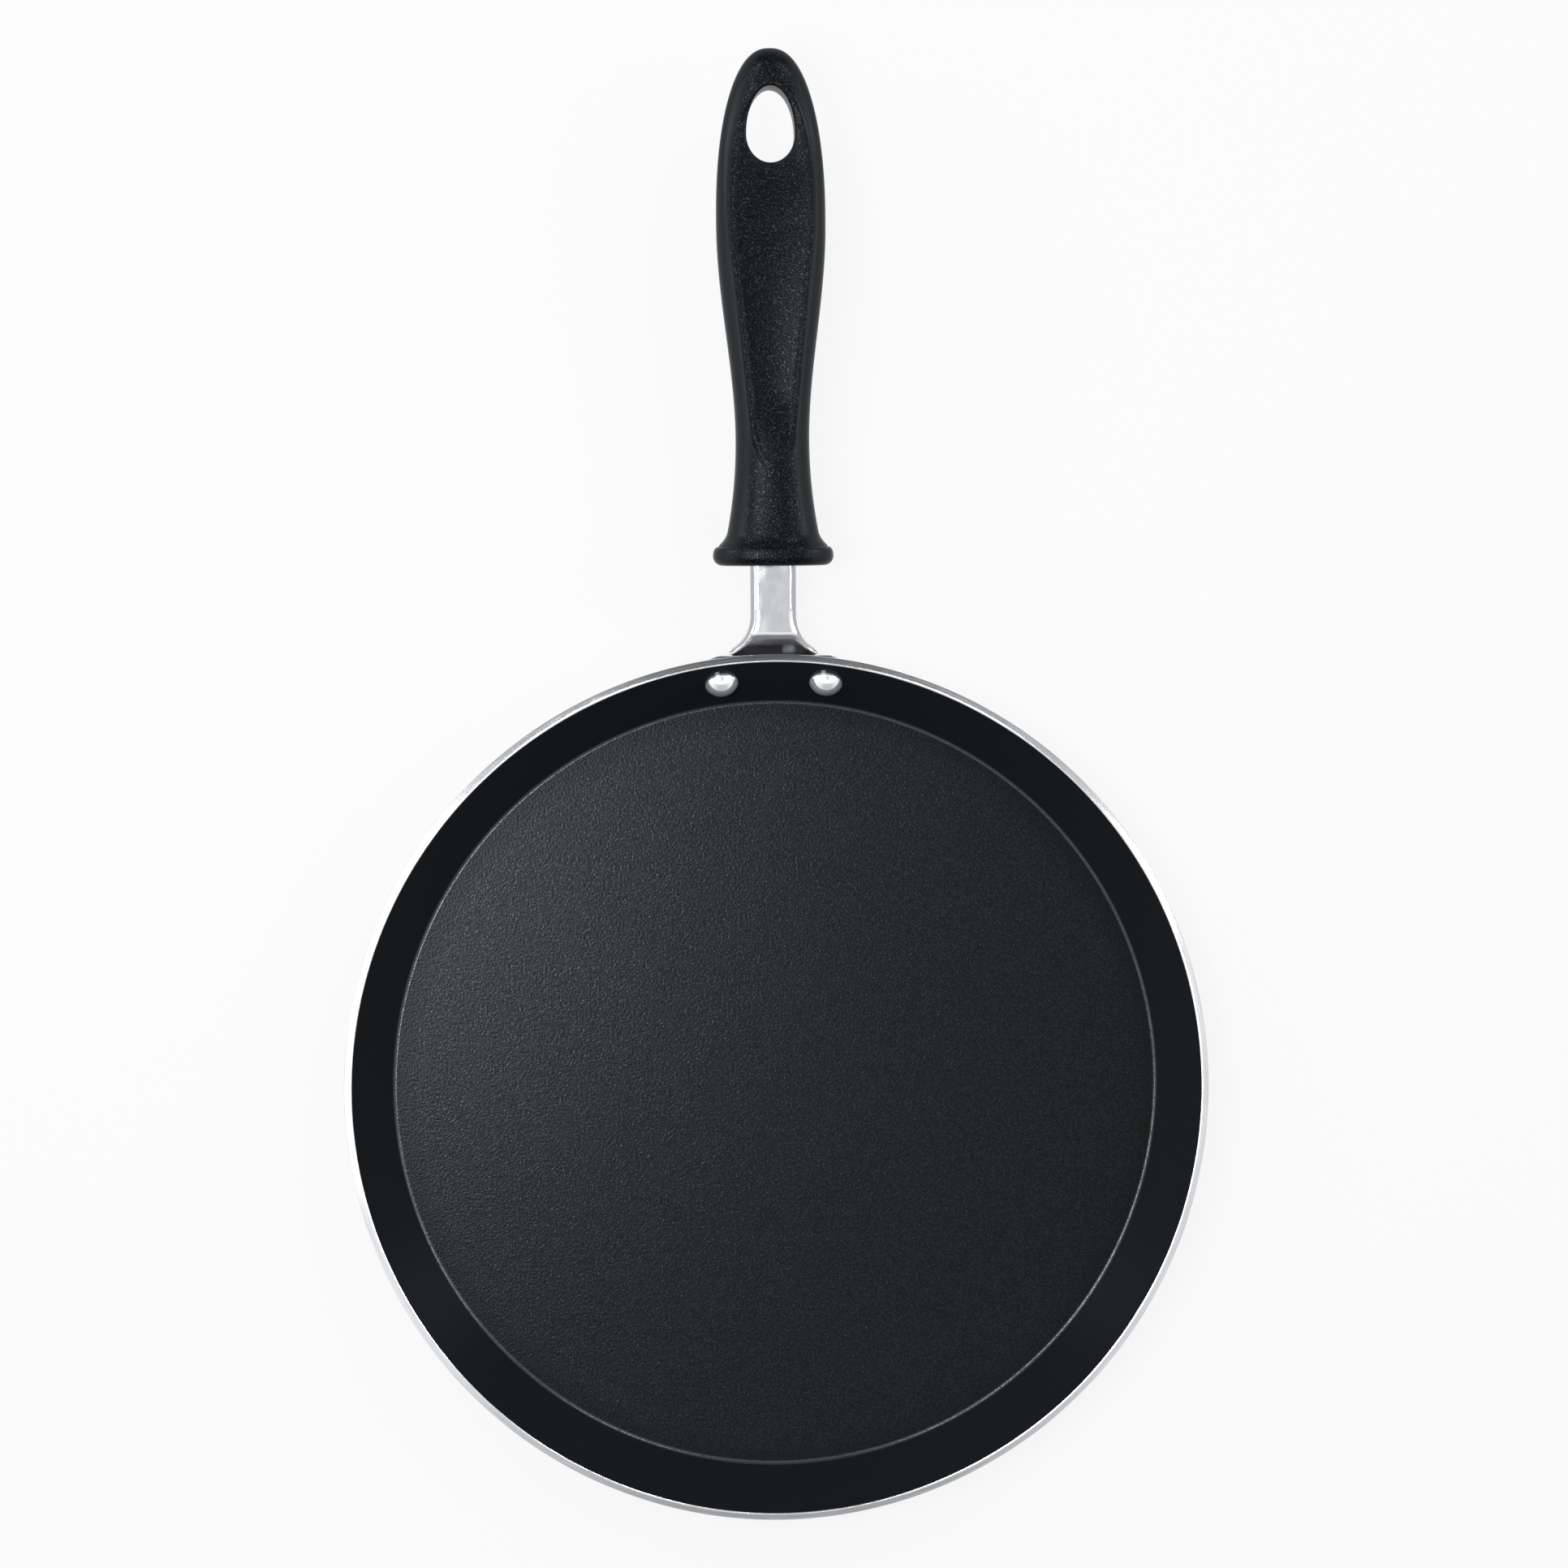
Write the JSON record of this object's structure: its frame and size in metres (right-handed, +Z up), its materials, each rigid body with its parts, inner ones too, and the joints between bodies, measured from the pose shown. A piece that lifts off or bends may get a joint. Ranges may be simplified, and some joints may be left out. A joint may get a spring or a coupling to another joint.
{
  "type": "tawa",
  "caption": "Shallow round riveted griddle pan with a grained black non-stick inside, a bare metal rim and a black moulded handle with a hanging eye.",
  "frame": {"origin": "centre of the flat underside of the pan, on the surface it stands on", "axes": "+Z up out of the pan, +Y from the pan's centre along the handle, +X to the right with the handle pointing away"},
  "size_m": [0.28, 0.4734, 0.0382],
  "materials": {
    "dish_aluminium": "bare, turned rim and spun outside",
    "nonstick_black": "grained satin non-stick coat",
    "rivet_aluminium": "polished dome",
    "bracket_plating": "bright plated sheet steel",
    "grip_phenolic": "spark-grained phenolic moulding",
    "screw_steel": "plain zinc-plated steel"
  },
  "bodies": {
    "root": {"pan_body": "dish_aluminium", "nonstick_coating": "nonstick_black", "rivet_left": "rivet_aluminium", "rivet_right": "rivet_aluminium", "handle_bracket": "bracket_plating", "handle_grip": "grip_phenolic", "handle_screw": "screw_steel", "lock_washer": "screw_steel"}
  },
  "joints": []
}
